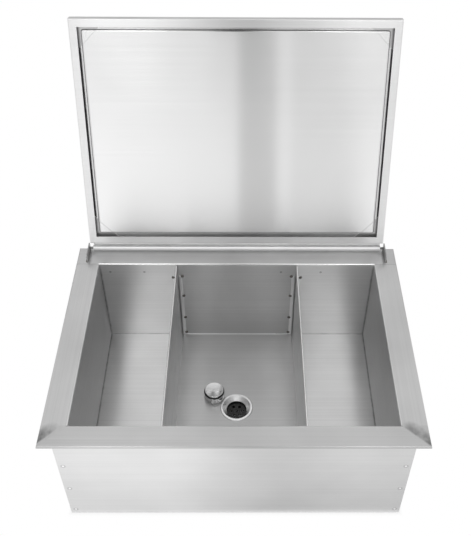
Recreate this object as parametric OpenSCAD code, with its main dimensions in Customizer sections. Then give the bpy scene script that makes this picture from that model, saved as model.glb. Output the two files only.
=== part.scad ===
// Drop-in ice bin: an insulated stainless tub under a flat rim, with a hinged lid, two lift-out
// dividers and a floor drain with a loose plug. Millimetres. X runs to the right, Y to the back
// and Z up. The origin is the centre of the casing's underside. The lid is drawn standing open.

/* [Rim] */
// Width of the rim, left to right
rim_w = 711; // [600:1:900]
// Depth of the rim, front to back
rim_d = 521; // [440:1:700]
// Width of the rim at each side of the opening
side_flange = 50; // [40:1:80]
// Width of the rim in front of the opening
front_flange = 46; // [40:1:80]
// Width of the rim behind the opening
back_flange = 52; // [46:1:90]
// Height of the lip turned down round the rim
lip_h = 5; // [4:0.5:12]
// Thickness of the liner sheet
liner_t = 1.2; // [0.8:0.1:2]
// Inner radius of the bends in the liner
liner_bend = 1.5; // [1:0.25:2.5]

/* [Tub] */
// Depth of the tub below the top of the rim
tub_depth = 236; // [180:1:300]
// Thickness of the insulation under the tub
floor_insulation = 35.8; // [34:0.2:60]

/* [Casing] */
// Distance of the casing in from the rim's edge
casing_inset = 20; // [14:1:26]
// Thickness of the casing sheet
casing_t = 1; // [0.7:0.1:1.5]
// Width of the flanges turned in on the casing's side panels
casing_return = 20; // [16:1:24]
// Height of the flanges turned up round the casing's bottom
pan_upturn = 20; // [18:1:26]
// Diameter of a rivet's shank
rivet_d = 2.4; // [2:0.1:3.2]
// Diameter of a rivet's head
rivet_head_d = 4.8; // [4.2:0.1:6.4]
// Height of a rivet's domed head
rivet_head_h = 1; // [0.6:0.1:1.6]
// Depth of the dimple that the rivet's pin leaves in its head
rivet_dimple = 0.3; // [0.2:0.1:0.5]
// Diameter of a rivet's set tail
rivet_tail_d = 3.8; // [3.4:0.1:5]
// Length of a rivet's set tail
rivet_tail_l = 1.2; // [0.8:0.1:2]
// Number of rivets in each upright row
rivet_count = 3; // [2:1:5]
// Distance of the rivets in from the casing's corner
rivet_edge = 10.5; // [8:0.5:13]
// Distance of the top rivet below the top of the rim
rivet_drop = 97; // [60:1:120]
// Height of the bottom rivet above the casing's underside
rivet_rise = 14; // [10:0.5:14]

/* [Dividers] */
// Distance of each divider from the middle of the tub
divider_x = 133; // [90:1:170]
// Thickness of the divider sheet
divider_t = 1.2; // [0.8:0.1:1.6]
// Distance of a divider's top below the top of the rim
divider_drop = 4; // [2:0.5:20]
// Height of the hem folded over at a divider's top
hem_h = 12; // [8:1:20]
// Gap left inside the fold of the hem
hem_gap = 0.8; // [0.4:0.1:1.2]
// Gap between a divider's end and the tub's wall
divider_end_gap = 1; // [0.5:0.25:2]

/* [Guides] */
// Thickness of the guide strips
guide_t = 1.2; // [0.8:0.1:2]
// Width of a guide's foot, flat on the tub's wall
guide_foot = 8.2; // [6:0.2:14]
// Width of a guide's leg, standing out beside the divider
guide_leg = 9; // [6:0.5:14]
// Distance of a guide's top below the top of the rim
guide_drop = 37; // [24:1:60]
// Gap between a divider and the guide on each side of it
slot_gap = 1; // [0.6:0.1:1.5]

/* [Lid] */
// Distance of the lid's side in from the rim's edge
lid_side_inset = 28; // [20:1:45]
// Distance of the closed lid's front in from the rim's edge
lid_front_inset = 12; // [6:1:40]
// Thickness of the lid
lid_h = 22; // [18:0.5:30]
// Thickness of the lid's outer sheet
lid_t = 1; // [0.8:0.1:1.5]
// Inner radius of the bends in the lid's outer sheet
lid_bend = 1.2; // [0.8:0.1:2]
// Width of the flange turned in round the lid's underside
lid_return = 16; // [12:0.5:26]
// Depth of the lid's inner panel behind that flange
lid_recess = 12; // [8:0.5:14]
// Thickness of the inner panel
lid_liner_t = 0.8; // [0.6:0.1:1.2]
// Gap all round between the lid's inner parts and its walls
lid_inner_gap = 0.3; // [0.1:0.1:1]
// Length of a corner gusset's leg that shows inside the flange
gusset_leg = 43; // [20:1:80]
// Thickness of a gusset
gusset_t = 1; // [0.6:0.1:2]
// Gap between the closed lid and the rim
lid_gap = 0.5; // [0.3:0.1:1.5]
// Angle that the lid is opened through, from closed
lid_open = 106.5; // [92:0.5:120]

/* [Hinge] */
// Diameter of the hinge rod
rod_d = 5; // [4:0.5:6]
// Radial running clearance round the rod
rod_fit = 0.05; // [0.02:0.01:0.08]
// Outside diameter of the hinge tube
tube_d = 11; // [9.5:0.5:12]
// Height of the hinge axis above the rim
axis_h = 8.5; // [7.5:0.5:12]
// Distance of the hinge axis in from the rim's back edge
axis_inset = 8; // [7:0.5:14]
// Distance from the hinge axis to the lid's back wall
web_w = 15; // [12:0.5:20]
// Thickness of the web between the tube and the lid
web_t = 1.2; // [0.8:0.1:2]
// Distance of the tube's end in from the lid's side
tube_short = 5.5; // [2:0.5:20]
// Gap between the lid's side and the hinge ear
ear_gap = 2.5; // [1.5:0.5:4]
// Thickness of a hinge ear
ear_t = 2; // [1.5:0.25:3]
// Height of a hinge ear above the rim
ear_h = 20; // [18:0.5:26]
// Length of a hinge ear, front to back
ear_l = 44; // [30:1:45]
// Radius of an ear's top corners
ear_r = 3; // [1:0.5:5]
// Diameter of the rod's peened heads
rod_head_d = 8; // [7.5:0.5:10]
// Height of the rod's peened heads
rod_head_h = 1.5; // [1:0.25:3]

/* [Drain] */
// Distance of the drain's centre in front of the middle of the tub's floor
drain_forward = 4.5; // [0:0.5:60]
// Diameter of the drain's flange on the tub's floor
flange_d = 72; // [68:1:76]
// Thickness of the drain's flange
flange_t = 1.8; // [1.4:0.1:2]
// Diameter of the drain's bowl at its mouth
bowl_d = 62; // [56:1:63]
// Depth of the bowl, mouth to throat
bowl_h = 9; // [7:0.5:12]
// Diameter of the drain's throat
throat_d = 44.8; // [44:0.2:46]
// Wall of the drain's bowl
bowl_wall = 1.5; // [1.2:0.1:2.2]
// Wall of the tail's plain end
tail_wall = 1.1; // [0.9:0.05:1.8]
// How far the tail's thread stands proud of its plain end
thread_h = 0.65; // [0.4:0.05:1]
// Length of thread left free below the backnut
thread_spare = 2; // [1:0.5:4]
// Distance of the tail's end above the casing's underside
tail_rise = 2; // [1:0.5:6]
// Diameter of the port through the insulation and the casing's bottom
port_d = 80; // [78:1:110]
// Height of the rubber gasket under the floor
gasket_h = 8; // [6:0.5:10]
// Wall of the gasket at its foot
gasket_wall = 9; // [7:0.5:11]
// Height of the backnut
nut_h = 8; // [6:0.5:9]
// Width of the backnut across its flats
nut_flats = 64; // [56:1:66]
// Depth of the strainer below the bowl
strainer_drop = 7; // [3:0.5:9]
// Thickness of the strainer
strainer_t = 1.5; // [1:0.25:3]
// Diameter of the strainer's holes
strainer_hole_d = 7; // [4:0.5:8]
// Diameter of the ring that the outer holes lie on
strainer_ring_d = 27; // [24:0.5:30]
// Radial gap between the strainer and the throat
strainer_fit = 0.05; // [0.02:0.01:0.1]

/* [Plug] */
// Diameter of the plug's head, on which the plug stands in the photograph
plug_d = 46; // [45.5:0.5:50]
// Height of the plug
plug_h = 26; // [22:1:36]
// Distance from the head's flat end to its shoulder
head_h = 18; // [15:0.5:20]
// Diameter of the head's flat end
head_flat_d = 40; // [34:1:44]
// Height of the slope round the head's flat end
head_slope = 7; // [4:0.5:10]
// Radius of the rounded edges of the head and the nose
plug_edge = 1; // [0.5:0.1:1.2]
// Radial gap between the plug's nose and the drain's throat
nose_fit = 1.6; // [1:0.1:3]
// Depth of the dish in the end of the nose
dish_h = 3; // [1.5:0.25:4]
// Width of the rim round the dish
dish_rim = 1.5; // [1.2:0.1:4]
// Thickness of the plug's rubber ring
seal_d = 5; // [4:0.25:5.5]
// How far the rubber ring stands proud of the throat's radius
seal_squeeze = 0.2; // [0.1:0.05:0.3]
// Distance of the plug from the drain, to the left
plug_left = 50; // [49:0.2:60]
// Distance of the plug from the drain, to the back
plug_back = 29.6; // [29:0.2:60]

/* [Hidden] */
$fn = 96;

steel = [0.80, 0.81, 0.82];
steel_shade = [0.70, 0.71, 0.72];
foam_colour = [0.93, 0.90, 0.78];
chrome = [0.88, 0.89, 0.90];
rubber = [0.10, 0.10, 0.11];

over = 1;          // how far a cut runs past the solid that it cuts
seam_gap = 0.3;    // gap between pieces that meet without touching

// Heights, from the casing's underside
floor_under = casing_t + floor_insulation;
floor_top = floor_under + liner_t;
rim_top = floor_top + tub_depth;
rim_under = rim_top - liner_t;

// The tub's opening, inside the walls
tub_w = rim_w - 2 * side_flange;
tub_front = -rim_d / 2 + front_flange;
tub_back = rim_d / 2 - back_flange;
tub_d = tub_back - tub_front;
drain_y = (tub_front + tub_back) / 2 - drain_forward;
bend_out = liner_bend + liner_t;

// The casing, outside and inside
casing_w = rim_w - 2 * casing_inset;
casing_d = rim_d - 2 * casing_inset;
inside_w = casing_w - 2 * casing_t;
inside_d = casing_d - 2 * casing_t;

// A rivet
rivet_grip = 2 * casing_t;
rivet_pitch = (rim_top - rivet_drop - rivet_rise) / (rivet_count - 1);

// The lid, in its closed place
axis_y = rim_d / 2 - axis_inset;
axis_z = rim_top + axis_h;
lid_back = axis_y - web_w;
lid_w = rim_w - 2 * lid_side_inset;
lid_l = lid_back + rim_d / 2 - lid_front_inset;
lid_mid = lid_back - lid_l / 2;
lid_low = rim_top + lid_gap;
lid_inside_w = lid_w - 2 * (lid_t + lid_inner_gap);
lid_inside_l = lid_l - 2 * (lid_t + lid_inner_gap);
ear_x = lid_w / 2 + ear_gap;
rod_hole_r = rod_d / 2 + rod_fit;
tube_l = lid_w - 2 * tube_short;

// The drain, whose heights are counted from the top of the tub's floor
tail_r = throat_d / 2 + tail_wall;
thread_r = tail_r + thread_h;
bowl_top = flange_t;
bowl_low = flange_t - bowl_h;
bowl_slope = (bowl_d - throat_d) / 2 / bowl_h;
bowl_out_r = bowl_d / 2 - bowl_slope * bowl_top + bowl_wall;
hole_r = bowl_out_r + seam_gap;
tail_low = tail_rise - floor_top;
gasket_low = -liner_t - gasket_h;
nut_low = gasket_low - nut_h;
thread_low = nut_low - thread_spare;
bowl_out_low = -(bowl_out_r - thread_r) / bowl_slope;

// The plug, whose heights are counted from the flat end that it stands on
nose_r = throat_d / 2 - nose_fit;
nose_low = head_h + seal_d;
seal_z = head_h + seal_d / 2;
seal_r = throat_d / 2 + seal_squeeze - seal_d / 2;

// A flat profile drawn in Y and Z, made long in X and centred
module along_x(length) {
  rotate([90, 0, 90]) linear_extrude(height = length, center = true) children();
}

// A flat profile drawn in X and Z, made long in Y from y = start
module along_y(start, length) {
  translate([0, start + length, 0]) rotate([90, 0, 0]) linear_extrude(height = length) children();
}

// A quarter of a ring, from the +X axis round to the +Y axis
module quarter_ring(r, t) {
  intersection() {
    difference() {
      circle(r + t);
      circle(r);
    }
    square(r + t);
  }
}

// A bent sheet seen from its end: [straight length, turn] for each run, the thickness on its left
module bent_sheet(runs, t, r, i = 0) {
  length = runs[i][0];
  turn = runs[i][1];
  if (length > 0) square([length, t]);
  if (turn > 0) {
    translate([length, t + r]) rotate(-90) quarter_ring(r, t);
    translate([length + r + t, t + r]) rotate(90) bent_sheet(runs, t, r, i + 1);
  }
  if (turn < 0) {
    translate([length, -r]) quarter_ring(r, t);
    translate([length + r, -r]) rotate(-90) bent_sheet(runs, t, r, i + 1);
  }
}

// A rectangle from y = 0 up, centred in X, with its upper corners rounded
module round_top(w, h, r) {
  translate([-w / 2, 0]) square([w, h - r]);
  translate([r - w / 2, 0]) square([w - 2 * r, h]);
  for (side = [-1, 1]) translate([side * (w / 2 - r), h - r]) circle(r);
}

// The same with all four corners rounded
module round_all(w, h, r) {
  for (side = [-1, 1], level = [r, h - r]) translate([side * (w / 2 - r), level]) circle(r);
  translate([r - w / 2, 0]) square([w - 2 * r, h]);
  translate([-w / 2, r]) square([w, h - 2 * r]);
}

// The plan of the liner's side piece: mitred at the rim's front corner, butted at the back
module side_zone(side) {
  reach = over / side_flange;
  corner = [rim_w / 2 + over, -rim_d / 2 - reach * front_flange];
  polygon([for (p = [corner, [tub_w / 2, tub_front], [tub_w / 2, tub_back], [rim_w / 2 + over, tub_back]])
    [side * p[0], p[1]]]);
}

// The whole rim: a flat plate with rounded edges and a lip turned down all round
module rim_plate() {
  h = lip_h + over;
  translate([0, 0, rim_top - lip_h]) difference() {
    intersection() {
      along_x(rim_w) round_top(rim_d, lip_h, bend_out);
      along_y(-rim_d / 2, rim_d) round_top(rim_w, lip_h, bend_out);
    }
    translate([0, 0, -over]) intersection() {
      along_x(rim_w - 2 * liner_t) round_top(rim_d - 2 * liner_t, h - liner_t, liner_bend);
      along_y(liner_t - rim_d / 2, rim_d - 2 * liner_t)
        round_top(rim_w - 2 * liner_t, h - liner_t, liner_bend);
    }
    translate([-tub_w / 2 - bend_out, tub_front - bend_out, -over])
      cube([tub_w + 2 * bend_out, tub_d + 2 * bend_out, h + over]);
  }
}

// The tub's front wall, floor and back wall in one bent sheet, seen from the side
module wrap_profile() {
  wall = tub_depth - bend_out - liner_bend;
  translate([tub_front - bend_out, rim_under])
    bent_sheet([[0, -1], [wall, 1], [tub_d - 2 * liner_bend, 1], [wall, -1], [0, 0]],
      liner_t, liner_bend);
}

// A side wall of the tub, bent outwards at its top, seen from the front
module side_profile() {
  translate([tub_w / 2 + bend_out, rim_under]) mirror([1, 0])
    bent_sheet([[0, -1], [tub_depth + liner_t - bend_out, 0]], liner_t, liner_bend);
}

// The rim's front and back with the walls and floor between them; the floor holds the drain
module liner_wrap() {
  color(steel) difference() {
    union() {
      difference() {
        rim_plate();
        translate([0, 0, rim_top - lip_h - over]) linear_extrude(height = lip_h + 2 * over)
          for (side = [-1, 1]) side_zone(side);
      }
      difference() {
        along_x(tub_w + 2 * liner_t) wrap_profile();
        translate([0, 0, floor_under - over]) linear_extrude(height = tub_depth + 3 * over)
          for (side = [-1, 1]) side_zone(side);
      }
      for (side = [-1, 1]) back_corner(side);
    }
    translate([0, drain_y, floor_under - over]) cylinder(h = liner_t + 2 * over, r = hole_r);
  }
}

// The flat of the rim beside the bend in the back wall, with the weld that closes the corner
module back_corner(side) {
  from = tub_w / 2;
  translate([side > 0 ? from : -from - bend_out - over, tub_back, rim_under])
    cube([bend_out + over, bend_out + over, liner_t]);
  translate([side > 0 ? from : -from - liner_t, tub_back, rim_top - bend_out])
    cube([liner_t, bend_out, bend_out]);
}

// The rim's side and the tub's side wall below it
module liner_side(side) {
  start = tub_front - 2 * bend_out;
  color(steel) intersection() {
    union() {
      rim_plate();
      mirror([side > 0 ? 0 : 1, 0, 0]) along_y(start, tub_back - start) side_profile();
    }
    translate([0, 0, floor_under - over]) linear_extrude(height = tub_depth + 3 * over) side_zone(side);
  }
}

// The places of the rivets' axes on a casing's front or back face
module at_rivets() {
  for (side = [-1, 1], face = [-1, 1], i = [0:rivet_count - 1])
    translate([side * (casing_w / 2 - rivet_edge), face * casing_d / 2, rivet_rise + i * rivet_pitch])
      rotate([-90 * face, 0, 0]) children();
}

module rivet_holes() {
  at_rivets() translate([0, 0, -rivet_grip - over]) cylinder(h = rivet_grip + 2 * over, d = rivet_d);
}

module rivet_pockets() {
  depth = rivet_grip + rivet_tail_l + 2 * seam_gap;
  at_rivets() translate([0, 0, -depth]) cylinder(h = depth, d = rivet_tail_d + 2 * seam_gap);
}

// Blind rivets: a domed head outside, a shank through both sheets and a set tail inside
module casing_rivets() {
  color(steel_shade) at_rivets() {
    difference() {
      dome(rivet_head_d, rivet_head_h);
      translate([0, 0, rivet_head_h - rivet_dimple]) cylinder(h = over, d = rivet_d / 2);
    }
    translate([0, 0, -rivet_grip]) cylinder(h = rivet_grip + rivet_head_h / 2, d = rivet_d);
    translate([0, 0, -rivet_grip - rivet_tail_l]) cylinder(h = rivet_tail_l, d = rivet_tail_d);
  }
}

// A low dome on the plane z = 0: the cap of a sphere
module dome(d, h) {
  r = (d * d / 4 + h * h) / (2 * h);
  rotate_extrude() intersection() {
    translate([0, h - r]) circle(r);
    square([d, h]);
  }
}

// Front and back panels, flat over the side panels' flanges
module casing_face(face) {
  color(steel) difference() {
    translate([-casing_w / 2, face > 0 ? casing_d / 2 - casing_t : -casing_d / 2, 0])
      cube([casing_w, casing_t, rim_under]);
    rivet_holes();
  }
}

// A side panel: a channel whose flanges lie behind the front and back panels
module casing_side(side) {
  return_run = casing_return - casing_t - liner_bend;
  low = pan_upturn + casing_t + seam_gap;
  color(steel) difference() {
    union() {
      mirror([side > 0 ? 0 : 1, 0, 0]) translate([0, 0, low]) linear_extrude(height = rim_under - low)
        translate([casing_w / 2 - casing_return, -inside_d / 2])
          bent_sheet([[return_run, 1], [inside_d - 2 * (casing_t + liner_bend), 1], [return_run, 0]],
            casing_t, liner_bend);
      translate([side * (casing_w - casing_t) / 2 - casing_t / 2, -inside_d / 2, 0])
        cube([casing_t, inside_d, low]);
    }
    rivet_holes();
  }
}

// The bottom: a shallow pan inside the panels, with the port for the drain's tail
module casing_bottom() {
  w = inside_w;
  d = inside_d;
  color(steel_shade) difference() {
    translate([0, 0, pan_upturn]) mirror([0, 0, 1]) difference() {
      intersection() {
        along_x(w) round_top(d, pan_upturn, casing_t + liner_bend);
        along_y(-d / 2, d) round_top(w, pan_upturn, casing_t + liner_bend);
      }
      translate([0, 0, -over]) intersection() {
        along_x(w - 2 * casing_t) round_top(d - 2 * casing_t, pan_upturn - casing_t + over, liner_bend);
        along_y(casing_t - d / 2, d - 2 * casing_t)
          round_top(w - 2 * casing_t, pan_upturn - casing_t + over, liner_bend);
      }
    }
    translate([0, drain_y, -over]) cylinder(h = casing_t + 2 * over, d = port_d);
    rivet_holes();
  }
}

// Insulation in front of the tub or behind it
module foam_face(face) {
  wall = face > 0 ? tub_back + liner_t : -tub_front + liner_t;
  depth = inside_d / 2 - casing_t - seam_gap - wall;
  color(foam_colour) translate([-tub_w / 2 - liner_t, face > 0 ? wall : -wall - depth, floor_under])
    cube([tub_w + 2 * liner_t, depth, rim_top - bend_out - floor_under]);
}

// Insulation at a side of the tub, from the casing's front to its back
module foam_side(side) {
  wall = tub_w / 2 + liner_t;
  depth = inside_w / 2 - wall;
  long = inside_d - 2 * (casing_t + liner_bend);
  color(foam_colour) difference() {
    translate([side > 0 ? wall : -wall - depth, -long / 2, floor_under])
      cube([depth, long, rim_top - bend_out - floor_under]);
    rivet_pockets();
  }
}

// Insulation under the tub, with the drain's port through it
module foam_floor() {
  edge = casing_t + liner_bend;
  color(foam_colour) difference() {
    translate([-inside_w / 2 + edge, -inside_d / 2 + edge, casing_t])
      cube([inside_w - 2 * edge, inside_d - 2 * edge, floor_insulation]);
    translate([0, drain_y, 0]) cylinder(h = floor_under + over, d = port_d);
    rivet_pockets();
  }
}

// An angle strip welded to the front or back wall on one side of a divider
module guide(face, side, outer) {
  slot = divider_t / 2 + slot_gap;
  wall = face > 0 ? tub_back : tub_front;
  away = outer ? 1 : -1;
  low = floor_top + liner_bend + seam_gap;
  color(steel) translate([side * (divider_x + away * slot), wall, low])
    mirror([side * away > 0 ? 0 : 1, 0, 0]) mirror([0, face > 0 ? 1 : 0, 0])
      linear_extrude(height = rim_top - guide_drop - low) {
        square([guide_foot, guide_t]);
        square([guide_t, guide_leg]);
      }
}

// A lift-out divider: a flat sheet whose top is folded over in a hem
module divider(side) {
  inner = hem_gap / 2;
  top = rim_top - divider_drop;
  low = floor_top + seam_gap;
  bend_z = top - inner - divider_t;
  start = tub_front + divider_end_gap;
  long = tub_d - 2 * divider_end_gap;
  // The lower corners are notched to clear the bend between the tub's wall and floor
  notch = liner_bend;
  color(steel) difference() {
    // The main sheet stands on the divider's own line, with the fold over its outer face
    mirror([side > 0 ? 0 : 1, 0, 0]) translate([divider_x - divider_t / 2, 0, 0])
      along_y(start, long) {
        translate([0, low]) square([divider_t, bend_z - low]);
        translate([divider_t + inner, bend_z]) {
          quarter_ring(inner, divider_t);
          mirror([1, 0]) quarter_ring(inner, divider_t);
        }
        translate([divider_t + hem_gap, top - hem_h]) square([divider_t, hem_h - inner - divider_t]);
      }
    for (end = [start, start + long])
      translate([-casing_w / 2, end - notch, low - over]) cube([casing_w, 2 * notch, notch + over]);
  }
}

// An upright ear welded to the back of the rim, with the hole for the hinge rod
module hinge_ear(side) {
  color(steel_shade) translate([side > 0 ? ear_x : -ear_x - ear_t, 0, 0])
    rotate([90, 0, 90]) linear_extrude(height = ear_t) difference() {
      translate([rim_d / 2 - bend_out - ear_l / 2, rim_top]) round_top(ear_l, ear_h, ear_r);
      translate([axis_y, axis_z]) circle(rod_hole_r);
    }
}

// The rod through both ears, peened over outside them
module hinge_rod() {
  long = 2 * (ear_x + ear_t);
  color(chrome) translate([0, axis_y, axis_z]) rotate([0, 90, 0]) {
    cylinder(h = long, d = rod_d, center = true);
    for (end = [0, 1]) mirror([0, 0, end]) translate([0, 0, long / 2])
      dome(rod_head_d, rod_head_h);
  }
}

// Turns what is drawn in the closed lid's place to the open one
module opened() {
  translate([0, axis_y, axis_z]) rotate([-lid_open, 0, 0]) translate([0, -axis_y, -axis_z]) children();
}

// The tube that turns on the rod, with the web that joins it to the lid's back wall
module hinge_tube() {
  color(steel) opened() translate([0, axis_y, axis_z]) along_x(tube_l) difference() {
    union() {
      circle(d = tube_d);
      translate([-web_w, tube_d / 2 - web_t]) square([web_w, web_t]);
    }
    circle(rod_hole_r);
  }
}

// The lid's outer sheet: a flat top, four walls and a flange turned in round the underside
module lid_skin() {
  r = lid_bend + lid_t;
  w = lid_w - 2 * lid_t;
  l = lid_l - 2 * lid_t;
  h = lid_h - 2 * lid_t;
  color(steel) opened() translate([0, lid_mid, lid_low]) difference() {
    intersection() {
      along_x(lid_w) round_all(lid_l, lid_h, r);
      along_y(-lid_l / 2, lid_l) round_all(lid_w, lid_h, r);
    }
    translate([0, 0, lid_t]) intersection() {
      along_x(w) round_all(l, h, lid_bend);
      along_y(-l / 2, l) round_all(w, h, lid_bend);
    }
    translate([lid_return - lid_w / 2, lid_return - lid_l / 2, -over])
      cube([lid_w - 2 * lid_return, lid_l - 2 * lid_return, lid_t + 2 * over]);
  }
}

// A flat sheet that fills the lid between its walls, from one height to another
module lid_layer(low, high, inset) {
  w = lid_inside_w - 2 * inset;
  l = lid_inside_l - 2 * inset;
  opened() translate([-w / 2, lid_mid - l / 2, lid_low + low]) cube([w, l, high - low]);
}

// The foam board between the lid's top and its inner panel
module lid_insulation() {
  color(foam_colour) lid_layer(lid_recess + lid_liner_t, lid_h - lid_t, lid_bend);
}

// The inner panel, which shows when the lid stands open
module lid_liner() {
  color(steel) lid_layer(lid_recess, lid_recess + lid_liner_t, 0);
}

// A three-cornered plate across a corner of the inner panel
module lid_gusset(side, end) {
  hidden = lid_return - lid_t - lid_inner_gap;
  leg = 2 * hidden + gusset_leg;
  color(steel_shade) opened() translate([side * lid_inside_w / 2, lid_mid + end * lid_inside_l / 2,
    lid_low + lid_recess - gusset_t])
    mirror([side > 0 ? 1 : 0, 0, 0]) mirror([0, end > 0 ? 1 : 0, 0])
      linear_extrude(height = gusset_t) polygon([[0, 0], [leg, 0], [0, leg]]);
}

// Places what is drawn round the drain's axis, with z = 0 on the tub's floor
module at_drain() {
  translate([0, drain_y, floor_top]) children();
}

// The drain's body, turned in one piece: flange with a rounded edge, bowl, throat, and a tail
// that is threaded for the nut and plain at its end
module drain_body() {
  color(chrome) at_drain() rotate_extrude() polygon(concat(
    [[throat_d / 2, bowl_low], [bowl_d / 2, bowl_top]],
    [for (a = [90:-15:0]) [flange_d / 2 - flange_t * (1 - cos(a)), flange_t * sin(a)]],
    [[bowl_out_r, 0], [thread_r, bowl_out_low], [thread_r, thread_low],
      [tail_r, thread_low - thread_h], [tail_r, tail_low], [throat_d / 2, tail_low]]
  ));
}

// The rubber gasket under the tub's floor, coned to the bowl
module drain_gasket() {
  out_r = thread_r + gasket_wall;
  cone_top = bowl_out_r - bowl_slope * liner_t + seam_gap;
  cone_low = max(bowl_out_low - seam_gap, gasket_low + seam_gap);
  color(rubber) at_drain() rotate_extrude() polygon([
    [cone_top, -liner_t], [max(out_r, cone_top + seam_gap), -liner_t], [out_r, gasket_low],
    [thread_r + seam_gap, gasket_low], [thread_r + seam_gap, cone_low]
  ]);
}

// The six-sided backnut that draws the gasket up
module drain_backnut() {
  corner_d = nut_flats / cos(30);
  color(chrome) at_drain() translate([0, 0, nut_low]) difference() {
    intersection() {
      cylinder(h = nut_h, d = corner_d, $fn = 6);
      cylinder(h = nut_h, d = (corner_d + nut_flats) / 2 + over);
    }
    translate([0, 0, -over]) cylinder(h = nut_h + 2 * over, r = thread_r + seam_gap / 2);
  }
}

// The pierced disc fixed in the throat
module drain_strainer() {
  color(steel_shade) at_drain() translate([0, 0, bowl_low - strainer_drop - strainer_t]) difference() {
    cylinder(h = strainer_t, r = throat_d / 2 - strainer_fit);
    for (i = [0:6]) rotate(i * 60) translate([i < 6 ? strainer_ring_d / 2 : 0, 0, -over])
      cylinder(h = strainer_t + 2 * over, d = strainer_hole_d);
  }
}

// Places what is drawn round the plug's axis, standing on its head beside the drain
module at_plug() {
  translate([-plug_left, drain_y + plug_back, floor_top]) children();
}

// The plug's metal body, upside down: sloped flat end, head, groove for the ring and dished nose
module plug_body() {
  dish_r = nose_r - dish_rim;
  // Radius of the sphere whose cap is the dish
  ball = (dish_r * dish_r + dish_h * dish_h) / (2 * dish_h);
  color(chrome) at_plug() rotate_extrude() difference() {
    polygon(concat(
      [[0, 0], [head_flat_d / 2, 0], [plug_d / 2, head_slope]],
      [for (a = [0:15:90]) [plug_d / 2 - plug_edge * (1 - cos(a)), head_h - plug_edge * (1 - sin(a))]],
      [[seal_r, head_h], [seal_r, nose_low], [nose_r, nose_low]],
      [for (a = [0:15:90]) [nose_r - plug_edge * (1 - cos(a)), plug_h - plug_edge * (1 - sin(a))]],
      [[0, plug_h]]
    ));
    translate([0, plug_h - dish_h + ball]) circle(ball, $fn = 360);
    translate([seal_r, seal_z]) circle(d = seal_d - seam_gap / 2);
  }
}

// The rubber ring in the plug's groove
module plug_seal() {
  color(rubber) at_plug() translate([0, 0, seal_z]) rotate_extrude()
    translate([seal_r, 0]) circle(d = seal_d - seam_gap);
}

liner_wrap();
liner_side(-1);  // liner_side_left
liner_side(1);  // liner_side_right
casing_face(-1);  // casing_front
casing_face(1);  // casing_back
casing_side(-1);  // casing_left
casing_side(1);  // casing_right
casing_bottom();
casing_rivets();
foam_face(-1);  // foam_front
foam_face(1);  // foam_back
foam_side(-1);  // foam_left
foam_side(1);  // foam_right
foam_floor();
guide(1, -1, true);  // guide_back_left_outer
guide(1, -1, false);  // guide_back_left_inner
guide(1, 1, false);  // guide_back_right_inner
guide(1, 1, true);  // guide_back_right_outer
guide(-1, -1, true);  // guide_front_left_outer
guide(-1, -1, false);  // guide_front_left_inner
guide(-1, 1, false);  // guide_front_right_inner
guide(-1, 1, true);  // guide_front_right_outer
divider(-1);  // divider_left
divider(1);  // divider_right
hinge_ear(-1);  // hinge_ear_left
hinge_ear(1);  // hinge_ear_right
hinge_rod();
hinge_tube();
lid_skin();
lid_insulation();
lid_liner();
lid_gusset(-1, -1);  // lid_gusset_front_left
lid_gusset(1, -1);  // lid_gusset_front_right
lid_gusset(-1, 1);  // lid_gusset_back_left
lid_gusset(1, 1);  // lid_gusset_back_right
drain_body();
drain_gasket();
drain_backnut();
drain_strainer();
plug_body();
plug_seal();
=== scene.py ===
import math
import bpy
from mathutils import Matrix, Vector


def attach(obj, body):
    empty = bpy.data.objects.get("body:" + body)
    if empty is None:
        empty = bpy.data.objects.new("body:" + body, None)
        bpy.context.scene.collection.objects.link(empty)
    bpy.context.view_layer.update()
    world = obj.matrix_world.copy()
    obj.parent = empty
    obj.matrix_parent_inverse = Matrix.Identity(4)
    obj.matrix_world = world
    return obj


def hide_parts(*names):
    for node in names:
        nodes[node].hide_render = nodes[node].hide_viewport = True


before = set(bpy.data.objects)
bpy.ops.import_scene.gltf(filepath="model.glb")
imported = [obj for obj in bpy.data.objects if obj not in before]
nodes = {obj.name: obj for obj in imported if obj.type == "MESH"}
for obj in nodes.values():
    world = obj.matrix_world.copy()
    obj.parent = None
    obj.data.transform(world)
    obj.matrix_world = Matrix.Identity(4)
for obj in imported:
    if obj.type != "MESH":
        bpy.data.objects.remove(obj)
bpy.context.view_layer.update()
scene = bpy.context.scene
bpy.ops.object.select_all(action="DESELECT")

# Camera: in front of the bin and above it, looking down into the tub. The picture is
# 471 by 536 pixels, and the sensor's 36 mm lie along its longer side.
lens = bpy.data.cameras.new("camera")
lens.sensor_width = 36
lens.lens = 52.356
lens.shift_x, lens.shift_y = -0.03064, -0.00511
camera = bpy.data.objects.new("camera", lens)
camera.location = (0.02007, -1.03056, 1.48247)
camera.rotation_euler = [math.radians(a) for a in (45.6443, -0.3908, -0.2499)]
scene.collection.objects.link(camera)
scene.camera = camera
scene.view_settings.view_transform = "Standard"

# Liner wrap: one stainless sheet bent into the rim's front, the tub's front wall, floor and
# back wall, and the rim's back. The belt that ground it ran from side to side. The side
# pieces are welded to it along mitres at the front corners and butts at the back ones.


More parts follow.
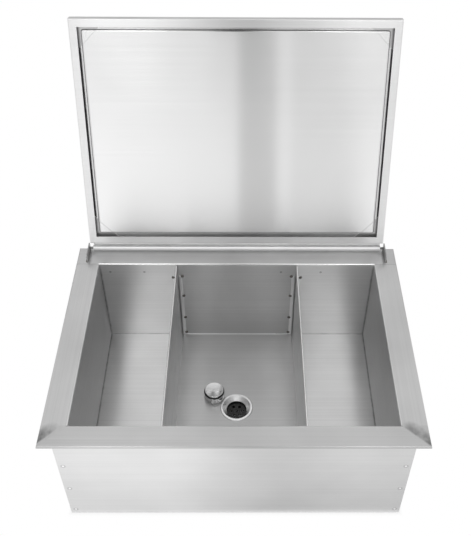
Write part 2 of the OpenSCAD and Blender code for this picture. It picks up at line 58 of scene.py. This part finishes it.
class Value:
    """What a node gives, so that a pattern is written as plain arithmetic."""

    def __init__(self, finish, socket):
        self.finish, self.socket = finish, socket

    def _math(self, operation, *terms):
        return self.finish.node("ShaderNodeMath", {"operation": operation}, dict(enumerate(terms)))

    def __add__(self, other):
        return self._math("ADD", self, other)

    __radd__ = __add__

    def __sub__(self, other):
        return self._math("SUBTRACT", self, other)

    def __rsub__(self, other):
        return self._math("SUBTRACT", other, self)

    def __mul__(self, other):
        return self._math("MULTIPLY", self, other)

    __rmul__ = __mul__

    def __pow__(self, other):
        return self._math("POWER", self, other)

    def __abs__(self):
        return self._math("ABSOLUTE", self)

    def least(self, other):
        return self._math("MINIMUM", self, other)

    def most(self, other):
        return self._math("MAXIMUM", self, other)

    def fade(self, low, high, bottom=0.0, top=1.0):
        """Runs smoothly from bottom at low to top at high, and stays there."""
        return self.finish.node("ShaderNodeMapRange", {"interpolation_type": "SMOOTHSTEP"},
                                {0: self, 1: low, 2: high, 3: bottom, 4: top})

    def near(self, full, gone, top=1.0):
        """Stays at top as far as full, and runs smoothly down to nothing at gone."""
        return self.fade(full, gone, top, 0.0)


class Finish:
    """The nodes of one finish, whose sockets take a number, a colour or a Value."""

    def __init__(self, name, **sockets):
        self.material = bpy.data.materials.new(name)
        self.material.use_nodes = True
        self.tree = self.material.node_tree
        self.shader = self.tree.nodes["Principled BSDF"]
        for socket, value in sockets.items():
            self[socket.replace("_", " ")] = value

    def __setitem__(self, socket, value):
        self.feed(self.shader.inputs[socket], value)

    def feed(self, socket, value):
        if isinstance(value, Value):
            self.tree.links.new(value.socket, socket)
        else:
            socket.default_value = value

    def node(self, kind, settings=None, inputs=None, output=0):
        made = self.tree.nodes.new(kind)
        for name, value in (settings or {}).items():
            setattr(made, name, value)
        for name, value in (inputs or {}).items():
            self.feed(made.inputs[name], value)
        return Value(self, made.outputs[output])

    def place(self):
        return self.node("ShaderNodeTexCoord", output="Object")

    def axes(self):
        split = self.node("ShaderNodeSeparateXYZ", {}, {0: self.place()})
        return [Value(self, socket) for socket in split.socket.node.outputs]

    def noise(self, scales, detail=2, shift=(0, 0, 0)):
        at = self.node("ShaderNodeMapping", {}, {"Vector": self.place(), "Scale": scales,
                                                 "Location": shift})
        return self.node("ShaderNodeTexNoise", {}, {"Vector": at, "Scale": 1, "Detail": detail})

    def mix(self, share, first, second):
        mixed = {0: share, 6: first, 7: second}
        return self.node("ShaderNodeMix", {"data_type": "RGBA"}, mixed, output=2)

    def bump(self, distance, height):
        self["Normal"] = self.node("ShaderNodeBump", {}, {
            "Strength": 1.0, "Distance": distance, "Height": height})

    def coat(self, mesh):
        """Gives a mesh this finish, and the grain of a smeared finish one direction."""
        mesh.materials.clear()
        mesh.materials.append(self.material)
        if self.shader.inputs["Anisotropic"].default_value:
            mesh.use_auto_texspace = False
            mesh.texspace_location = self.far

    def dress(self, *names):
        for name in names:
            self.coat(nodes[name].data)


def grey(level):
    return (level, level, level, 1)


X, Y, Z = range(3)


def ground_sheet(name, level, roughness, along, smear=0.0, marks_and_shade=None, groove=1.0, grain=1.0):
    """Stainless sheet ground with a belt that ran along X, Y or Z.
    smear draws reflections out across the grain of an upright sheet; the mask argument, of marks
    and painted shade, is darker and duller where it is 1 and brighter where it is below 0, which
    on the liner is painted light; and groove and grain are how deep and how visible the scratches
    are."""
    scratch_tone, streak_tone, cloud_tone, mark_and_shade_tone = 0.12, 0.10, 0.30, 0.6
    streak_dull, cloud_dull, mark_and_shade_dull = 0.03, 0.05, 0.15
    scratch_depth = 0.000006
    finish = Finish(name, Metallic=1.0, Anisotropic=smear)
    finish["Anisotropic Rotation"] = 0.25
    finish.far = (90, 0, 0) if along == Y else (0, 90, 0)
    scratch_scale, streak_scale = [620, 620, 620], [150, 150, 150]
    scratch_scale[along], streak_scale[along] = 1.5, 0.9
    scratches = finish.noise(scratch_scale, 1)
    streaks = finish.noise(streak_scale, 2, (0.3, 0.7, 0.1)) - 0.5
    clouds = finish.noise((7, 7, 7), 2, (1.7, 0.4, 2.3)) - 0.5
    shown = (scratches - 0.5) * scratch_tone + streaks * streak_tone + clouds * cloud_tone
    tone = 1 + shown * grain
    dull = roughness + streaks * streak_dull + clouds * cloud_dull
    if marks_and_shade:
        marked_and_shaded = marks_and_shade(finish)
        tone = tone * (1 - marked_and_shaded * mark_and_shade_tone)
        dull = dull + marked_and_shaded * mark_and_shade_dull
    finish["Base Color"] = finish.mix(tone * 0.5, grey(0.0), grey(level * 2))
    finish["Roughness"] = dull
    finish.bump(scratch_depth * groove, scratches)
    return finish


tub_half, tub_front, tub_back, tub_floor = 0.3055, -0.2145, 0.2085, 0.038
rim_half, rim_front, rim_top = 0.3555, -0.2605, 0.274
divider_x = 0.133


def liner_marks_and_shade(finish):
    """1 is dull and dark, and below 0 is brighter: weld marks, painted shade and painted
    highlights.
    Each mark is laid out by its distance from the sheet's edges and bends."""
    weld_dull, weld_more, patch_dull, patch_less, seam_dull = 0.08, 0.25, 1.35, 0.4, 0.7
    corner_dull, back_dull, rim_dull, strip_less, lip_shade = 0.75, 0.45, 0.28, 0.12, 0.3
    side_wall_shade, middle_low_centre, middle_low_edge = 0.22, 0.42, 0.28
    bend_highlight, side_bend, floor_bend, front_wall_light = 0.7, 0.5, 0.7, 0.8
    x, y, z = finish.axes()
    right = x.fade(-0.01, 0.01)
    side, ahead, back, low = abs(x) - tub_half, y - tub_front, y - tub_back, z - tub_floor
    on_rim = z.fade(rim_top - 0.003, rim_top - 0.002)
    below_rim = z.near(rim_top - 0.006, rim_top - 0.004)
    beside_tub = ahead.fade(-0.001, 0.001) * back.near(0.0, 0.003)
    middle = abs(x).near(divider_x - 0.01, divider_x)
    blot = finish.noise((60, 60, 60), 3, (0.2, 0.9, 0.5)).fade(0.25, 0.75, 0.6, 1.15)

    # The weld along each front corner's mitre, and the patch beside it where it was ground.
    # On the right the line is darker, and the patch longer and fainter.
    reach, drop = rim_half - tub_half, tub_front - rim_front
    mitre = math.hypot(reach, drop)
    along = (side * reach - ahead * drop) * (1 / mitre ** 2)
    off = (side * drop + ahead * reach) * (1 / mitre)
    inwards = off - 0.006 + right * 0.0055
    line = abs(off).near(0.0003, 0.0011) * (weld_dull + right * weld_more)
    patch = along.fade(-0.1 - right * 0.25, 0.95 - right * 0.45) * inwards.near(0.006, 0.034)
    patch = patch * inwards.fade(-0.004, 0.003) * blot * (patch_dull - right * patch_less)

    # The butt seam across each back corner of the rim.
    seam = abs(back).near(0.0003, 0.001) * side.fade(0.0, 0.002) * seam_dull
    welds = (line.most(patch) * ahead.near(0.002, 0.03)).most(seam) * on_rim

    # Darker and duller along the tub's inside corners: where the side pieces meet the walls and
    # floor, and along the back of the floor.
    upright = (side ** 2 + back ** 2) ** 0.5
    beside = (side ** 2 + low ** 2) ** 0.5
    floor_turn = (back ** 2 + low ** 2) ** 0.5
    crease = upright.least(beside).near(0.001, 0.0045, corner_dull)
    crease = crease.most((floor_turn + middle * 0.01).near(0.0008, 0.0026, back_dull))
    crease = crease * blot * (1 - z.fade(rim_top - 0.02, rim_top - 0.004))

    # Painted highlights along the bends: the tub's back and side edges, and the back of the middle
    # floor.
    bend = back.fade(-0.0008, 0.0) * back.near(0.0012, 0.0035) * (1 - side.fade(0.0, 0.002))
    bend = bend + side.fade(-0.0008, 0.0) * side.near(0.001, 0.003) * beside_tub * side_bend
    bend = bend * z.fade(rim_top - 0.004, rim_top - 0.003)
    bend = bend + floor_turn.near(0.0010, 0.0026, floor_bend) * middle

    # Whole areas, whose tone is taken from the photo: the rim, darker and duller, less so on its
    # sides; painted shade on the top of its front lip and on the side walls; and the middle floor
    # with the foot of the back wall, darker and duller towards the middle. The front wall, which
    # shows only in the lid, is painted bright, a painted light that the lid mirrors.
    flat = on_rim * (rim_dull - side.fade(-0.001, 0.001) * beside_tub * strip_less)
    lip = z.fade(rim_top - 0.0045, rim_top - 0.0035) * y.near(rim_front + 0.002, rim_front + 0.004)
    side_wall = abs(side).near(0.001, 0.002) * below_rim
    at_front = abs(ahead).near(0.001, 0.003)
    middle_low = abs(x).near(divider_x - 0.0015, divider_x) * low.near(0.0, 0.12)
    middle_low = middle_low * abs(x).fade(0.04, 0.11, middle_low_centre, middle_low_edge) * (1 - at_front)
    areas = flat.most(lip * lip_shade).most(side_wall * side_wall_shade).most(middle_low)
    bright = bend * bend_highlight + at_front * below_rim * front_wall_light
    return welds.most(crease).most(areas) - bright


liner_ground = dict(level=0.68, roughness=0.31, smear=0.9, marks_and_shade=liner_marks_and_shade, groove=0.15)
liner_long = ground_sheet("liner_steel_long_grain", along=X, **liner_ground)
liner_long.dress("liner_wrap")

# Liner sides: each the rim's side strip and the tub's side wall in one bent sheet, with the
# grain running from front to back. The welds at their ends are ground flush.
liner_cross = ground_sheet("liner_steel_cross_grain", along=Y, **liner_ground)
liner_cross.dress("liner_side_left", "liner_side_right")

# Spot-weld marks: in a row on the tub's back wall, close under the rim. What they hold behind
# the wall doesn't show. Each is a shallow dimpled disc in the liner's own steel.
spot_drop, spot_across = 0.0245, (-0.283, -0.207, 0.099, 0.188)


def pick(piece, wanted, kind="polygons"):
    """Selects a piece's faces, edges or vertices in code, and leaves it in edit mode."""
    bpy.ops.object.mode_set(mode="OBJECT")
    scene.tool_settings.mesh_select_mode = [kind == k for k in ("vertices", "edges", "polygons")]
    for group in (piece.data.vertices, piece.data.edges, piece.data.polygons):
        group.foreach_set("select", [False] * len(group))
    for part in getattr(piece.data, kind):
        part.select = wanted(part)
    bpy.ops.object.mode_set(mode="EDIT")


def copies(piece, name, places):
    """Copies a piece to each place, each with its own mesh, and joins them as one piece."""
    made = []
    for place in places:
        twin = piece.copy()
        twin.data = piece.data.copy()
        twin.data.transform(place)
        scene.collection.objects.link(twin)
        made.append(twin)
    bpy.ops.object.select_all(action="DESELECT")
    for twin in made:
        twin.select_set(True)
    bpy.context.view_layer.objects.active = made[0]
    bpy.ops.object.join()
    made[0].name = made[0].data.name = name
    bpy.ops.object.select_all(action="DESELECT")
    return made[0]


def spare(piece):
    """Takes away the piece that was only the pattern for its copies."""
    bpy.data.objects.remove(piece, do_unlink=True)


def facing(direction, place):
    """Turns a piece that was modelled facing up to face a direction, at a place."""
    turn = Vector((0, 0, 1)).rotation_difference(Vector(direction)).to_matrix().to_4x4()
    return Matrix.Translation(place) @ turn


bpy.ops.mesh.primitive_cylinder_add(vertices=24, radius=0.0027, depth=0.0003,
                                    location=(0, 0, 0.0001))
dimple = bpy.context.object
bpy.ops.object.transform_apply(location=True)
pick(dimple, lambda face: face.normal.z > 0.9)
bpy.ops.mesh.inset(thickness=0.0004)
bpy.ops.mesh.inset(thickness=0.0007, depth=-0.0001)
bpy.ops.mesh.inset(thickness=0.0007, depth=0.00008)
bpy.ops.object.mode_set(mode="OBJECT")
wall_spots = copies(dimple, "wall_spot_welds", [
    facing((0, -1, 0), (x, tub_back, rim_top - spot_drop)) for x in spot_across])
spot_steel = ground_sheet("spot_weld_steel", level=0.42, roughness=0.34, along=X)
wall_spots.data.materials.append(spot_steel.material)
spare(dimple)
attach(wall_spots, "bin")

# Casing: five folded panels of thinner sheet, ground from side to side and riveted at the
# corners. The bottom pan carries the port for the drain.
rivet_x, rivet_rows = 0.325, (0.014, 0.0955, 0.177)


def rivet_shade_ring(finish):
    """A painted shade: a grey ring round each rivet head."""
    x, y, z = finish.axes()
    bottom, middle, top = [abs(z - row) for row in rivet_rows]
    away = ((abs(x) - rivet_x) ** 2 + bottom.least(middle).least(top) ** 2) ** 0.5
    return away.near(0.0036, 0.0062, 0.4)


casing_steel = ground_sheet("casing_steel_sheet", level=0.81, roughness=0.325, along=X,
                            smear=0.75, marks_and_shade=rivet_shade_ring, grain=0.6)
casing_steel.dress("casing_front", "casing_back", "casing_bottom")
casing_side_steel = ground_sheet("casing_side_steel", level=0.79, roughness=0.325, along=Y,
                                 smear=0.75, grain=0.6)
casing_side_steel.dress("casing_left", "casing_right")

# Rivets: blind rivets with domed heads, bright as they came, set through the casing's panels
# in upright rows of three at the ends of its front and back.
rivet_steel = Finish("rivet_head_steel", Metallic=1.0)
handled = rivet_steel.noise((900, 900, 900), 3)
rivet_steel["Base Color"] = rivet_steel.mix(handled, grey(0.93), grey(1.0))
rivet_steel["Roughness"] = 0.22 + handled * 0.12
rivet_steel.dress("casing_rivets")

# Insulation: boards of cream-coloured rigid foam between the liner and the casing, with the
# open cells of their cut faces.
cut_foam = Finish("cut_foam")
cells = cut_foam.node("ShaderNodeTexVoronoi", {}, {"Vector": cut_foam.place(), "Scale": 900})
age = cut_foam.noise((30, 30, 30), 3)
cut_foam["Base Color"] = cut_foam.mix(age, (0.74, 0.66, 0.42, 1), (0.83, 0.77, 0.56, 1))
cut_foam["Roughness"] = 0.85 + (cells - 0.4) * 0.15
cut_foam.bump(0.0004, cells)
cut_foam.dress("foam_front", "foam_back", "foam_left", "foam_right", "foam_floor",
               "lid_insulation")

# Guides: eight angle strips of the liner's sheet, one on each side of each divider's end,
# stood upright on the front and back walls and tack-welded along their feet. The slot
# between them is painted dark, a painted shade.
slot_dull = 0.9
bead_radius, bead_flat, bead_crown, tack_out = 0.0038, 0.75, 0.0014, 0.0004
tack_drops = {0.1232: (0.0375, 0.101, 0.175, 0.228), 0.1428: (0.041, 0.145, 0.21)}


def slot_shade(finish):
    """Painted shade in the slot of a divider, on both sides of the tub."""
    off_slot = abs(abs(finish.axes()[X]) - divider_x)
    return off_slot.near(0.0025, 0.0038, slot_dull)


# The strips are painted much brighter than the liner's sheet, a painted light.
guide_steel = ground_sheet("guide_strip_steel", level=0.97, roughness=0.42, along=Z,
                           marks_and_shade=slot_shade, groove=0.3)
guide_steel.dress(*[name for name in nodes if name.startswith("guide_")])

bpy.ops.mesh.primitive_uv_sphere_add(segments=16, ring_count=10, radius=bead_radius)
bead = bpy.context.object
bpy.ops.object.mode_set(mode="EDIT")
bpy.ops.mesh.select_all(action="SELECT")
bpy.ops.mesh.bisect(plane_co=(0, 0, 0), plane_no=(0, 0, 1), use_fill=True, clear_inner=True)
bpy.ops.mesh.select_all(action="SELECT")
bpy.ops.transform.resize(value=(1, 1, bead_flat))
bpy.ops.object.mode_set(mode="OBJECT")
pick(bead, lambda face: face.center.z > bead_crown)
bpy.ops.mesh.inset(thickness=0.0003, depth=-0.0002)
bpy.ops.object.mode_set(mode="OBJECT")
tacks = []
for wall, out in ((tub_back, -1), (tub_front, 1)):
    for side in (-1, 1):
        for foot, drops in tack_drops.items():
            edge = foot + math.copysign(tack_out, foot - divider_x)
            tacks += [facing((0, out, 0), (side * edge, wall, rim_top - drop)) for drop in drops]
guide_tacks = copies(bead, "guide_tack_welds", tacks)
weld_steel = Finish("tack_weld_steel", Metallic=1.0)
ripple = weld_steel.noise((1500, 1500, 1500), 3)
heat = weld_steel.noise((300, 300, 300), 2)
weld_steel["Base Color"] = weld_steel.mix(heat, grey(0.10), (0.27, 0.25, 0.22, 1))
weld_steel["Roughness"] = 0.42 + ripple * 0.2
weld_steel.bump(0.00008, ripple)
guide_tacks.data.materials.append(weld_steel.material)
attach(guide_tacks, "bin")

# Dividers: two lift-out sheets with a hem folded over at the top, ground from front to back.
# Their faces are dulled by ice and scoops, most of all low down, and the hem is rubbed bright.
low_dull, high_dull, hem_bright = 0.35, 0.08, 0.55


def scooped(finish):
    """Blotches that thin out upwards, and the bright hem."""
    z = finish.axes()[Z]
    blotches = finish.noise((25, 25, 60), 4, (0.6, 0.1, 0.3)).fade(0.45, 0.8)
    return blotches * z.fade(0.04, 0.26, low_dull, high_dull) - z.fade(0.2665, 0.2685) * hem_bright


divider_steel = ground_sheet("divider_sheet_steel", level=0.60, roughness=0.325, along=Y,
                             marks_and_shade=scooped, groove=0.3)
divider_steel.dress("divider_left", "divider_right")

# Hinge ears: two short upright plates, sawn from bar and fillet-welded to the back of the
# rim. The weld is a row of overlapping beads along the outer foot of each ear.
ear_foot, bead_rows = 0.3319, [row / 1000 for row in range(217, 256, 2)]
# The ears' steel is painted dark, a painted shade.
ear_steel = ground_sheet("hinge_ear_steel", level=0.38, roughness=0.40, along=Y)
ear_steel.dress("hinge_ear_left", "hinge_ear_right")
for side, word in ((-1, "left"), (1, "right")):
    beads = [facing((side, 0, 1), (side * ear_foot, y, rim_top)) for y in bead_rows]
    weld = copies(bead, "ear_weld_" + word, beads)
    weld.data.materials.append(weld_steel.material)
    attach(weld, "bin")
spare(bead)

# Hinge: a plain rod peened over outside the ears, and the tube that turns on it, welded by
# its web to the lid's back wall. Both are drawn bar and tube, with lines along them.
hinge_steel = ground_sheet("drawn_hinge_steel", level=0.88, roughness=0.48, along=X)
hinge_steel.dress("hinge_tube")
# The rod is painted dark, a painted shade where it shows beside the tube's ends.
rod_steel = Finish("peened_rod_steel", Metallic=1.0)
dents = rod_steel.noise((1100, 1100, 1100), 2)
rod_steel["Base Color"] = rod_steel.mix(dents, grey(0.10), grey(0.34))
rod_steel["Roughness"] = 0.2 + dents * 0.14
rod_steel.bump(0.00015, dents)
rod_steel.dress("hinge_rod")

# Lid: an outer sheet folded into a tray with a flange turned in round its underside, ground
# from side to side, so that what it mirrors is drawn out upwards and downwards.
lid_steel = ground_sheet("lid_skin_steel", level=0.76, roughness=0.32, along=X,
                         smear=0.93, grain=0.6)
lid_steel.dress("lid_skin")

# Lid's inner panel: one sheet, pressed so that a flat field stands out from the margin behind
# the flange, and drawn slightly hollow by the foam. It replaces the plain sheet, and the
# gussets' edges print through its corners.
hinge_y, hinge_z, lean = 0.2525, 0.2825, math.radians(-106.5)
open_lid = (Matrix.Translation((0, hinge_y, hinge_z)) @ Matrix.Rotation(lean, 4, "X")
            @ Matrix.Translation((0, -hinge_y, -hinge_z)))
lid_mid, margin_z, panel_t, rise = -0.0055, 0.2865, 0.0008, 0.005
field_w, field_l, margin, hollow, rows = 0.611, 0.442, 0.0207, 0.0028, 16
corner_r, fold_r = 0.005, 0.003
inside_x, inside_y, gusset_leg = 0.3262, 0.2417, 0.0724
print_dull, margin_shade = 0.18, 0.35
bpy.ops.mesh.primitive_plane_add(size=1)
lid_panel = bpy.context.object
lid_panel.name = lid_panel.data.name = "lid_panel"
bpy.ops.object.mode_set(mode="EDIT")
bpy.ops.transform.resize(value=(field_w, field_l, 1))
bpy.ops.mesh.flip_normals()
bpy.ops.mesh.bevel(offset=corner_r, segments=5, affect="VERTICES")
bpy.ops.mesh.select_all(action="SELECT")
bpy.ops.mesh.extrude_region_move(TRANSFORM_OT_translate={"value": (0, 0, -rise)})


def at_level(mesh, edge, level):
    return all(abs(mesh.vertices[v].co.z - level) < 1e-6 for v in edge.vertices)


pick(lid_panel, lambda edge: at_level(lid_panel.data, edge, 0), "edges")
bpy.ops.mesh.extrude_edges_move()
bpy.ops.transform.resize(value=(1 + 2 * margin / field_w, 1 + 2 * margin / field_l, 1))
pick(lid_panel, lambda edge: at_level(lid_panel.data, edge, -rise), "edges")
bpy.ops.mesh.bevel(offset=fold_r, segments=5, affect="EDGES")
pick(lid_panel, lambda face: face.area > 0.9 * field_w * field_l)
bpy.ops.mesh.inset(thickness=0.0004)
cuts = [(row / rows - 0.5) * field_l for row in range(1, rows)]
for cut in cuts:
    pick(lid_panel, lambda face: face.normal.z < -0.999 and face.center.z < -rise / 2)
    bpy.ops.mesh.bisect(plane_co=(0, cut, 0), plane_no=(0, 1, 0))
for cut in cuts:
    pick(lid_panel, lambda vertex: abs(vertex.co.y - cut) < 1e-5
         and abs(vertex.co.x) < field_w / 2 - fold_r and vertex.co.z < -rise / 2, "vertices")
    bpy.ops.transform.translate(value=(0, 0, hollow * (1 - (2 * cut / field_l) ** 2)))
bpy.ops.object.mode_set(mode="OBJECT")
thickness = lid_panel.modifiers.new("thickness", "SOLIDIFY")
thickness.thickness, thickness.offset = panel_t, -1
bpy.ops.object.modifier_apply(modifier=thickness.name)
bpy.ops.object.shade_smooth_by_angle(angle=math.radians(35))
lid_panel.data.transform(open_lid @ Matrix.Translation((0, lid_mid, margin_z)))


def panel_prints_and_shade(finish):
    """A faint line across each corner along its gusset's edge, and painted shade on the margin
    behind the flange, which is dull and dark.
    """
    x, y, z = finish.axes()
    away = (y - hinge_y) * math.cos(-lean) - (z - hinge_z) * math.sin(-lean)
    out_x, out_y = abs(x), abs(away + hinge_y - lid_mid)
    off_gusset = abs(out_x + out_y - (inside_x + inside_y - gusset_leg))
    off_field = (out_x - field_w / 2).most(out_y - field_l / 2)
    prints = off_gusset.near(0.0005, 0.0035) * print_dull
    return prints.most(off_field.fade(-0.0035, -0.001) * margin_shade)


panel_steel = ground_sheet("lid_panel_sheet", level=0.83, roughness=0.17, along=X,
                           smear=1.0, marks_and_shade=panel_prints_and_shade, grain=0.3)
panel_steel.coat(lid_panel.data)
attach(lid_panel, "lid")
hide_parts("lid_liner")
bpy.ops.object.select_all(action="DESELECT")

# Gussets: a three-cornered plate across each corner of the lid, whose ends show beside the
# panel's field. They are cut from the same sheet as the panel.
# Their steel is painted darker than the panel's, a painted shade where they show in the margin.
gusset_steel = ground_sheet("lid_gusset_sheet", level=0.60, roughness=0.36, along=X)
gusset_steel.dress(*[name for name in nodes if name.startswith("lid_gusset_")])

# Drain body and its backnut: turned and plated, bright on the flange and in the bowl, and
# painted dark in the throat and the tail, a painted shade. Fine tool rings run round them.
drain_y, bright, throat_shade = -0.0075, 0.94, 0.05
chrome = Finish("drain_bright_plate", Metallic=1.0)
x, y, z = chrome.axes()
radius = (x ** 2 + (y - drain_y) ** 2) ** 0.5
turning = {"W": radius * 1600 + z * 900, "Scale": 1, "Detail": 1}
rings = chrome.node("ShaderNodeTexNoise", {"noise_dimensions": "1D"}, turning)
stain = chrome.noise((90, 90, 90), 3)
above_throat = z.fade(0.0265, 0.0315)
plate = chrome.mix(stain, grey(bright - 0.10), grey(bright))
chrome["Base Color"] = chrome.mix(above_throat, grey(throat_shade), plate)
chrome["Roughness"] = 0.40 - above_throat * 0.14 + stain * 0.05
chrome.bump(0.00004, rings)
chrome.dress("drain_body", "drain_backnut")

# Strainer: a disc with seven holes that sits in the drain's throat, below the bowl. It is
# painted almost black, a painted shade.
strainer_dark = Finish("strainer_painted_dark", Metallic=0.8)
mottle = strainer_dark.noise((500, 500, 500), 3)
strainer_dark["Base Color"] = strainer_dark.mix(mottle, grey(0.015), grey(0.07))
strainer_dark["Roughness"] = 0.35 + mottle * 0.25
strainer_dark.bump(0.0001, mottle)
strainer_dark.dress("drain_strainer")

# Gasket and the plug's ring: moulded black rubber, with a slight bloom. The gasket is pressed
# against the tub's floor from below, and the ring lies in the plug's groove.
rubber = Finish("black_rubber")
bloom = rubber.noise((350, 350, 350), 3)
rubber["Base Color"] = rubber.mix(bloom, grey(0.008), grey(0.022))
rubber["Roughness"] = 0.45 + bloom * 0.2
rubber.bump(0.00006, bloom)
rubber.dress("drain_gasket", "plug_seal")

# Plug: turned and plated like the drain, standing on its head, so that the dished end of its
# nose and the black ring below it show.
plug_plate = Finish("plug_bright_plate", Metallic=1.0)
rub = plug_plate.noise((260, 260, 260), 3)
plug_plate["Base Color"] = plug_plate.mix(rub, grey(0.52), grey(0.72))
plug_plate["Roughness"] = 0.10 + rub * 0.10
plug_plate.dress("plug_body")

# Room: a white floor and white surroundings, with two tall lights behind the camera. Boards
# that only the steel mirrors stand in front of the bin, above it and behind it, and one lies
# on the floor before it.
WHITE_SEEN, WHITE_MIRRORED, ROOM_LIGHT, BEHIND_DIMMER = 1.0, 0.75, 0.85, 0.12


def rays(finish):
    """1 on the rays from the camera, on those off a mirror, and on those through glass."""
    path = finish.node("ShaderNodeLightPath").socket.node
    kinds = ("Camera", "Glossy", "Transmission")
    return [Value(finish, path.outputs["Is %s Ray" % kind]) for kind in kinds]


floor_paint = Finish("floor_white", Roughness=0.9, Base_Color=grey(0.95))
x, y, z = floor_paint.axes()
seen, mirrored, through = rays(floor_paint)
clear_of_bin = abs(x).fade(0.325, 0.345).most(abs(y).fade(0.230, 0.250))
share = (seen * WHITE_SEEN).most(mirrored.most(through) * WHITE_MIRRORED) * clear_of_bin
glow = floor_paint.node("ShaderNodeEmission", {}, {"Color": grey(1.0), "Strength": 1.0})
paint = Value(floor_paint, floor_paint.shader.outputs[0])
lit = floor_paint.node("ShaderNodeMixShader", {}, {0: share, 1: paint, 2: glow})
floor_paint.feed(floor_paint.tree.nodes["Material Output"].inputs[0], lit)
bpy.ops.mesh.primitive_plane_add(size=12, location=(0, 0, -0.0005))
floor = bpy.context.object
floor.name = "floor"
bpy.ops.object.transform_apply(location=True)
floor.data.materials.append(floor_paint.material)

room = bpy.data.worlds.new("room")
scene.world = room
room.use_nodes = True
walls = Finish("room_helper")
walls.tree = room.node_tree
background = room.node_tree.nodes["Background"]
seen, mirrored, through = rays(walls)
direct = seen.most(mirrored).most(through)
around = walls.node("ShaderNodeTexCoord", output="Generated")
split = walls.node("ShaderNodeSeparateXYZ", {}, {0: around})
behind = Value(walls, split.socket.node.outputs["Y"]).fade(0.1, 0.5) * mirrored
strength = (direct * (1 - ROOM_LIGHT) + ROOM_LIGHT) * (1 - behind * BEHIND_DIMMER)
walls.feed(background.inputs["Color"], grey(1.0))
walls.feed(background.inputs["Strength"], strength)
bpy.data.materials.remove(walls.material)


def board(name, shade, share, half_wide, at, low, high, flat=False):
    """A board that only the steel mirrors. shade(x, y, z) is how bright it is, and
    share(x, y, z) how solid. It stands at Y = at, or lies flat at Z = at."""
    paint = Finish(name)
    x, y, z = paint.axes()
    shown = {"Color": grey(1.0), "Strength": shade(x, y, z)}
    face = paint.node("ShaderNodeEmission", {}, shown)
    nothing = paint.node("ShaderNodeBsdfTransparent")
    both = paint.node("ShaderNodeMixShader", {}, {0: share(x, y, z), 1: nothing, 2: face})
    paint.feed(paint.tree.nodes["Material Output"].inputs[0], both)
    bpy.ops.mesh.primitive_plane_add(size=1)
    piece = bpy.context.object
    piece.name = name
    middle, size = (low + high) / 2, high - low
    turn = Matrix() if flat else Matrix.Rotation(math.pi / 2, 4, "X")
    place = Matrix.Translation((0, middle, at) if flat else (0, at, middle))
    piece.data.transform(place @ turn @ Matrix.Diagonal((2 * half_wide, size, 1, 1)))
    piece.data.materials.append(paint.material)
    piece.visible_camera = piece.visible_diffuse = piece.visible_shadow = False
    piece.visible_transmission = piece.visible_volume_scatter = False


def lid_stripes(x, y, z):
    """What the lid shows: white, a dark band, a bright stripe, grey, and paler again."""
    white = x.fade(-0.6, -0.03, 0.99, 0.93)
    band = x.fade(-0.022, 0.004) * x.near(0.136, 0.152) * 0.29
    pale = x.fade(0.14, 0.15) * x.near(0.195, 0.215) * 0.03
    dim = x.fade(0.195, 0.215) * x.fade(0.40, 0.56, 1.0, 0.25) * 0.15
    belt = z.fade(0.4, 0.85) * z.near(0.95, 1.15) * 0.12
    foot = z.near(0.3, 0.65, 0.20)
    return (white - band - pale - dim) * (1 - belt + foot)


def floor_shades(x, y, z):
    """What the casing shows: darkest near the ground and a little right of the middle."""
    down = y.fade(-0.43, -0.25, 1.0, 0.80)
    return down * (1.03 - x.fade(-0.16, 0.10) * 0.30 + x.fade(0.10, 0.30) * 0.06)


board("lid_screen", lid_stripes, lambda x, y, z: z.near(1.2, 1.3),
      half_wide=1.6, at=-1.25, low=0.0, high=1.3)
board("high_flag", lambda x, y, z: 0.05,
      lambda x, y, z: abs(x + 0.01).near(0.05, 0.15) * z.fade(1.02, 1.20),
      half_wide=0.3, at=-1.24, low=1.0, high=4.5)
board("back_flag", lambda x, y, z: 0.12, lambda x, y, z: z.near(0.95, 1.2),
      half_wide=2.5, at=1.9, low=-0.3, high=1.2)
board("floor_screen", floor_shades,
      lambda x, y, z: abs(x).near(0.55, 0.75) * y.fade(-0.75, -0.55),
      half_wide=0.8, at=0.001, low=-0.8, high=-0.245, flat=True)


def lamp(name, place, target, size, power):
    data = bpy.data.lights.new(name, "AREA")
    data.shape, data.size, data.size_y, data.energy = "RECTANGLE", size[0], size[1], power
    light = bpy.data.objects.new(name, data)
    light.location = place
    light.rotation_euler = (Vector(target) - Vector(place)).to_track_quat("-Z", "Y").to_euler()
    scene.collection.objects.link(light)


tub_middle = (0, 0, 0.1)
lamp("light_left", (-0.55, -1.45, 1.85), tub_middle, size=(0.35, 0.65), power=2.3)
lamp("light_right", (0.55, -1.45, 1.85), tub_middle, size=(0.30, 0.65), power=1.75)
